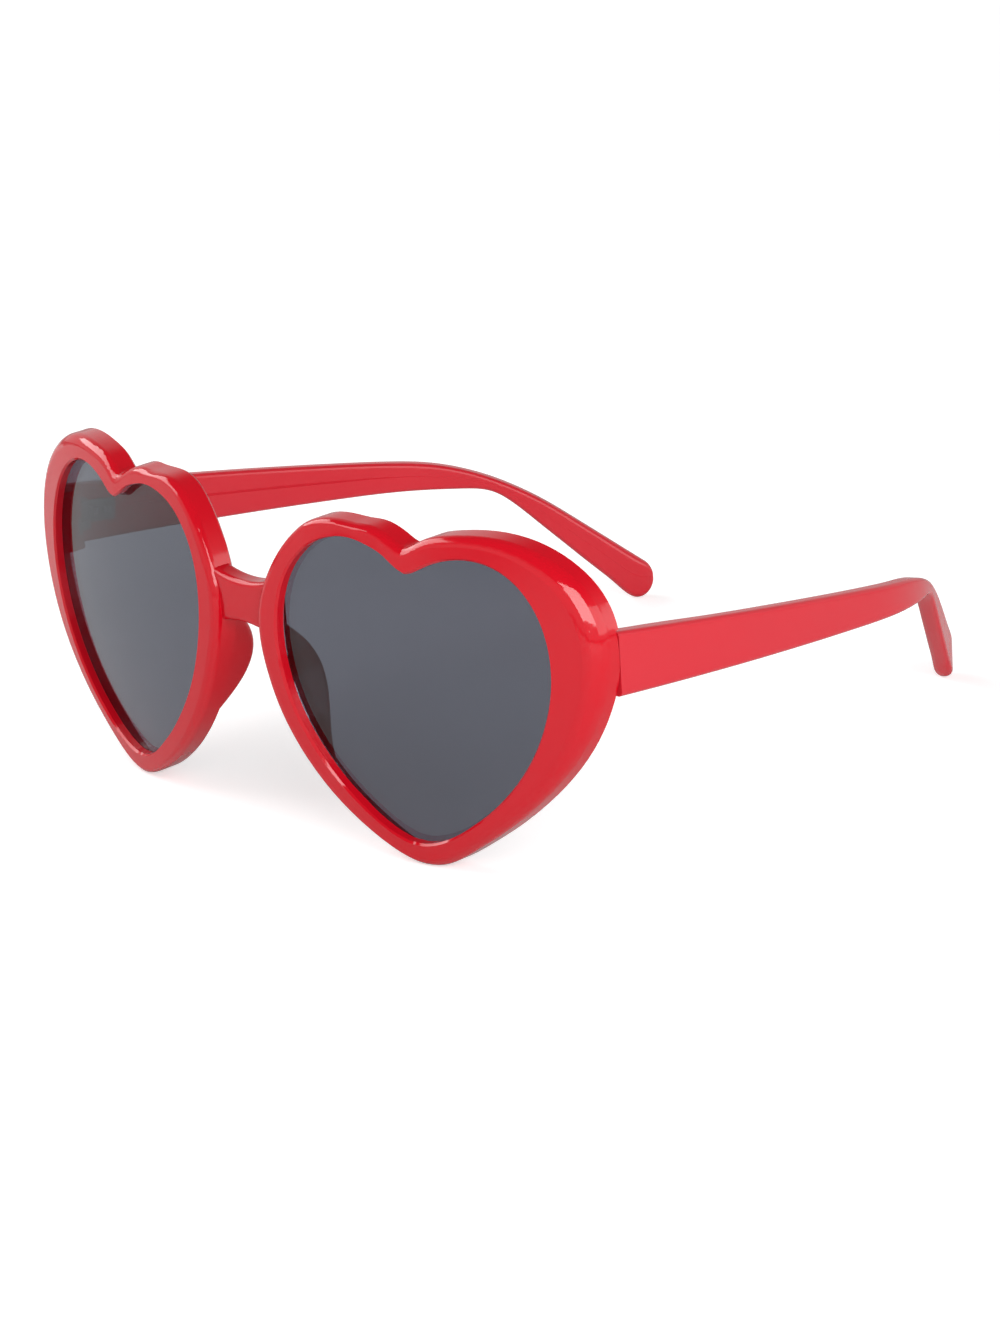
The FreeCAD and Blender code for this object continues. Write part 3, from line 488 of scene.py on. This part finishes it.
class Assembly:
    """Pieces that move together."""

    def finishes(self) -> dict[str, Finish]:
        """Choose the finish of every piece.

        Returns:
            Finishes by the name of the piece.
        """
        raise NotImplementedError

    def dress(self) -> Iterable[str]:
        """Give every piece its finish.

        Returns:
            Names of the pieces that were dressed.
        """
        chosen = self.finishes()
        for name, finish in chosen.items():
            finish.give(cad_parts[name])
        return chosen.keys()


class FrontAssembly(Assembly):
    """Moulded front with both lenses and the fixed halves of the hinges."""

    def finishes(self) -> dict[str, Finish]:
        """Choose the finish of every piece of the front.

        Returns:
            Finishes by the name of the piece.
        """
        chosen = {"front_frame": RED_FRONT}
        for side in Side:
            chosen["lens_" + side.value] = SMOKE_LENS
            chosen["front_hinge_leaf_" + side.value] = LEAF_STEEL
            chosen["hinge_screw_" + side.value] = SCREW_STEEL
            chosen["front_leaf_screws_" + side.value] = SCREW_STEEL
        return chosen


@dataclass(frozen=True)
class TempleAssembly(Assembly):
    """One folding temple with its hinge leaf and screws."""

    side: Side

    def finishes(self) -> dict[str, Finish]:
        """Choose the finish of every piece of the temple.

        Returns:
            Finishes by the name of the piece.
        """
        return {
            "temple_" + self.side.value: RED_TEMPLE_WITH_PAINTED_SHEEN,
            "temple_hinge_leaf_" + self.side.value: LEAF_STEEL,
            "temple_leaf_screws_" + self.side.value: SCREW_STEEL,
        }


@dataclass(frozen=True)
class WhitePaper:
    """Plain white floor that keeps soft shadows.

    Only views and the lens see its glow, which is glow + far_glow * step of the distance from the middle,
    from far_from to far_to, so that it stays white where the lamps don't reach.
    """

    name: str = "white_paper"
    reach: float = 4.0
    colour: Colour = (0.72, 0.72, 0.72)
    glow: float = 0.56
    far_glow: float = 0.3
    far_from: float = 0.35
    far_to: float = 1.5

    def material(self) -> bpy.types.Material:
        """Draw the matt paper with its glow.

        Returns:
            The material.
        """
        made = bpy.data.materials.new(self.name)
        made.use_nodes = True
        draft = NodeTree(made.node_tree)
        matt = draft.add("ShaderNodeBsdfDiffuse")
        matt.inputs["Color"].default_value = (*self.colour, 1.0)
        away = draft.add("ShaderNodeVectorMath", operation="LENGTH")
        draft.join(draft.add("ShaderNodeTexCoord").outputs["Object"], away.inputs[0])
        far = draft.window(away.outputs["Value"], self.far_from, self.far_to)
        level = draft.math("MULTIPLY_ADD", far, self.far_glow, self.glow)
        path = draft.add("ShaderNodeLightPath")
        seen = draft.math("MAXIMUM", path.outputs["Is Camera Ray"], path.outputs["Is Transmission Ray"])
        glow = draft.add("ShaderNodeEmission")
        draft.join(draft.math("MULTIPLY", seen, level), glow.inputs["Strength"])
        both = draft.add("ShaderNodeAddShader")
        draft.join(matt.outputs[0], both.inputs[0])
        draft.join(glow.outputs[0], both.inputs[1])
        out = draft.add("ShaderNodeOutputMaterial")
        draft.join(both.outputs[0], out.inputs["Surface"])
        return made

    def build(self) -> bpy.types.Object:
        """Lay the floor.

        Returns:
            The floor object.
        """
        mesh = bpy.data.meshes.new(self.name)
        reach = self.reach
        corners = [(-reach, -reach, 0.0), (reach, -reach, 0.0), (reach, reach, 0.0), (-reach, reach, 0.0)]
        mesh.from_pydata(corners, [], [(0, 1, 2, 3)])
        mesh.materials.append(self.material())
        floor = bpy.data.objects.new(self.name, mesh)
        bpy.context.scene.collection.objects.link(floor)
        return floor


@dataclass(frozen=True, kw_only=True)
class SoftLight:
    """Soft box that faces the glasses; azimuth is measured from straight ahead to the wearer's left."""

    name: str
    azimuth: float
    elevation: float
    width: float
    height: float
    watts: float
    distance: float = 0.9
    aim: Point = (0.0, 0.0, 0.03)

    def build(self) -> bpy.types.Object:
        """Hang the light.

        Returns:
            The light object.
        """
        turn = math.radians(self.azimuth)
        rise = math.radians(self.elevation)
        away = Vector((math.sin(turn) * math.cos(rise), -math.cos(turn) * math.cos(rise), math.sin(rise)))
        lamp = bpy.data.lights.new(self.name, "AREA")
        lamp.shape = "RECTANGLE"
        lamp.size = self.width
        lamp.size_y = self.height
        lamp.energy = self.watts
        made = bpy.data.objects.new(self.name, lamp)
        facing = away.to_track_quat("Z", "Y").to_matrix().to_4x4()
        made.matrix_world = Matrix.Translation(Vector(self.aim) + away * self.distance) @ facing
        bpy.context.scene.collection.objects.link(made)
        return made


@dataclass(frozen=True)
class PhotoCamera:
    """Camera where the photograph was taken."""

    name: str = "photo_camera"
    place: Point = (0.577846, -0.554620, 0.276169)
    forward: Point = (-0.690443, 0.651924, -0.313503)
    up: Point = (-0.196344, 0.248223, 0.948596)
    focal_pixels: float = 4522.2
    long_side_pixels: float = 1333.0
    film: float = 36.0
    nearest: float = 0.01
    farthest: float = 50.0

    def build(self) -> bpy.types.Object:
        """Set the camera and make it the one that is used.

        Returns:
            The camera object.
        """
        forward = Vector(self.forward).normalized()
        right = forward.cross(Vector(self.up)).normalized()
        up = right.cross(forward)
        lens = bpy.data.cameras.new(self.name)
        lens.sensor_width = self.film
        lens.lens = self.focal_pixels * self.film / self.long_side_pixels
        lens.clip_start = self.nearest
        lens.clip_end = self.farthest
        made = bpy.data.objects.new(self.name, lens)
        turned = Matrix((right, up, -forward)).transposed().to_4x4()
        made.matrix_world = Matrix.Translation(Vector(self.place)) @ turned
        bpy.context.scene.collection.objects.link(made)
        bpy.context.scene.camera = made
        return made


@dataclass(frozen=True)
class StudioDome:
    """White sweep all round, darker overhead.

    The strength is low + (high - low) * step of the height of the direction, from turn_low to turn_high.
    The camera itself sees plain white.
    """

    name: str = "studio_dome"
    low: float = 0.66
    high: float = 0.10
    turn_low: float = 0.3
    turn_high: float = 0.75

    def build(self) -> None:
        """Draw the world."""
        world = bpy.data.worlds.new(self.name)
        world.use_nodes = True
        draft = NodeTree(world.node_tree)
        ahead = draft.add("ShaderNodeSeparateXYZ")
        draft.join(draft.add("ShaderNodeTexCoord").outputs["Generated"], ahead.inputs[0])
        fall = draft.window(ahead.outputs["Z"], self.turn_low, self.turn_high)
        light = draft.math("MULTIPLY_ADD", fall, self.high - self.low, self.low)
        path = draft.add("ShaderNodeLightPath")
        back = draft.add("ShaderNodeBackground")
        back.inputs["Color"].default_value = (1.0, 1.0, 1.0, 1.0)
        draft.join(draft.math("MAXIMUM", light, path.outputs["Is Camera Ray"]), back.inputs["Strength"])
        out = draft.add("ShaderNodeOutputWorld")
        draft.join(back.outputs[0], out.inputs["Surface"])
        bpy.context.scene.world = world


@dataclass(frozen=True)
class Studio:
    """White sweep, soft light and the camera of the product photograph."""

    paper: WhitePaper = WhitePaper()
    lights: tuple[SoftLight, ...] = (
        SoftLight(name="key_soft_box", azimuth=62.0, elevation=27.0, width=0.5, height=0.5, watts=4.6),
        SoftLight(name="left_soft_box", azimuth=-66.0, elevation=36.0, width=1.0, height=0.5, watts=5.6),
        SoftLight(name="right_fill_box", azimuth=104.0, elevation=17.0, width=0.8, height=0.4, watts=1.7),
    )
    dome: StudioDome = StudioDome()
    camera: PhotoCamera = PhotoCamera()

    def build(self) -> None:
        """Lay the floor, hang the lights and set the camera."""
        self.paper.build()
        for light in self.lights:
            light.build()
        self.dome.build()
        self.camera.build()
        bpy.context.scene.view_settings.view_transform = "Standard"


def main() -> None:
    """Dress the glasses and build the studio."""
    logging.basicConfig(level=logging.INFO, format="%(name)s: %(message)s")
    assemblies = [FrontAssembly()] + [TempleAssembly(side) for side in Side]
    for assembly in assemblies:
        for name in assembly.dress():
            LOG.info("dressed %s", name)
    Studio().build()


if __name__ == "__main__":
    main()
